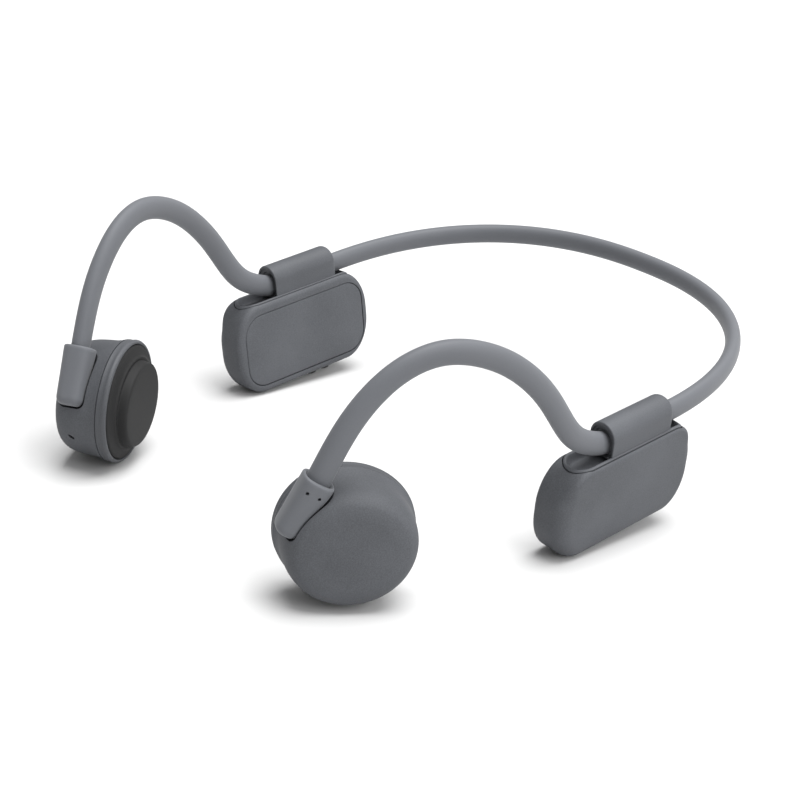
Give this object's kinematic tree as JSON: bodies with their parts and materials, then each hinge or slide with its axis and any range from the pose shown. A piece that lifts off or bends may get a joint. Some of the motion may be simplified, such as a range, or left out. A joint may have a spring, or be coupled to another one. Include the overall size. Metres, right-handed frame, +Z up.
{
  "type": "bone conduction headphones",
  "caption": "Neckband headphones with ear hooks, flat electronics boxes behind the ears and round bone conduction pods with raised pads in front of them.",
  "frame": {"origin": "centre of the footprint, on the table the set stands on", "axes": "+Y from the pods to the back of the neckband, +Z up, +X to the wearer's left"},
  "size_m": [0.1118, 0.145, 0.0534],
  "materials": {
    "shell_plastic": "fine matte texture",
    "clamp_plastic": "fine matte texture",
    "bezel_plastic": "matte",
    "silicone": "smooth matte silicone",
    "pad_silicone": "soft matte silicone",
    "flap_silicone": "matte silicone",
    "gasket_rubber": "matte",
    "button_plastic": "matte",
    "steel": "satin",
    "spring_steel": "drawn",
    "magnet": "plated",
    "copper": "enamelled winding",
    "cable_jacket": "satin jacket",
    "white_plastic": "moulded",
    "board": "solder mask",
    "chip": "moulded",
    "cell_foil": "laminated foil",
    "foam": "closed-cell foam",
    "can": "stamped can",
    "mesh": "woven acoustic mesh"
  },
  "bodies": {
    "right_side": {"right_box_shell": "shell_plastic", "right_box_cover": "shell_plastic", "right_box_gasket": "gasket_rubber", "right_clamp": "clamp_plastic", "right_wire_crimp": "steel", "right_band_sleeve": "silicone", "right_band_wire": "spring_steel", "right_band_cable": "cable_jacket", "right_hook_sleeve": "silicone", "right_hook_wire": "spring_steel", "right_hook_cable": "cable_jacket", "right_pod_shell": "shell_plastic", "right_clip": "silicone", "right_pod_lead": "cable_jacket", "right_bezel": "bezel_plastic", "right_spring_plate": "spring_steel", "right_pad": "pad_silicone", "right_contact_plate": "white_plastic", "right_driver_yoke": "steel", "right_driver_magnet": "magnet", "right_pole_plate": "steel", "right_voice_coil": "copper", "right_coil_former": "white_plastic", "charge_socket": "steel", "volume_switches": "steel", "main_board": "board", "board_chips": "chip", "board_screws": "steel", "microphone": "can", "mic_mesh": "mesh"},
    "left_side": {"left_box_shell": "shell_plastic", "left_box_cover": "shell_plastic", "left_box_gasket": "gasket_rubber", "left_clamp": "clamp_plastic", "left_wire_crimp": "steel", "left_band_sleeve": "silicone", "left_band_wire": "spring_steel", "left_band_cable": "cable_jacket", "left_hook_sleeve": "silicone", "left_hook_wire": "spring_steel", "left_hook_cable": "cable_jacket", "left_pod_shell": "shell_plastic", "left_clip": "silicone", "left_pod_lead": "cable_jacket", "left_bezel": "bezel_plastic", "left_spring_plate": "spring_steel", "left_pad": "pad_silicone", "left_contact_plate": "white_plastic", "left_driver_yoke": "steel", "left_driver_magnet": "magnet", "left_pole_plate": "steel", "left_voice_coil": "copper", "left_coil_former": "white_plastic", "battery": "cell_foil", "battery_foam": "foam", "battery_board": "board"},
    "port_cover": {"port_cover": "flap_silicone"},
    "volume_up": {"volume_up": "button_plastic"},
    "volume_down": {"volume_down": "button_plastic"}
  },
  "joints": [
    {"name": "band_flex", "type": "hinge", "parent": "right_side", "child": "left_side", "pos_m": [0, 0.0725, 0.03392], "axis": [0, -0.1201, 0.9928], "range_deg": [0, 30], "stiffness_Nm_per_rad": 0.25},
    {"name": "port_cover_hinge", "type": "hinge", "parent": "right_side", "child": "port_cover", "pos_m": [-0.04905, -0.00462, 0.0003], "axis": [-0.9945, 0.0126, -0.1038], "range_deg": [0, 90]},
    {"name": "volume_up_press", "type": "slide", "parent": "right_side", "child": "volume_up", "axis": [-0.1045, -0.1195, 0.9873], "range_m": [0, 0.0004], "stiffness_N_per_m": 1000},
    {"name": "volume_down_press", "type": "slide", "parent": "right_side", "child": "volume_down", "axis": [-0.1045, -0.1195, 0.9873], "range_m": [0, 0.0004], "stiffness_N_per_m": 1000}
  ]
}
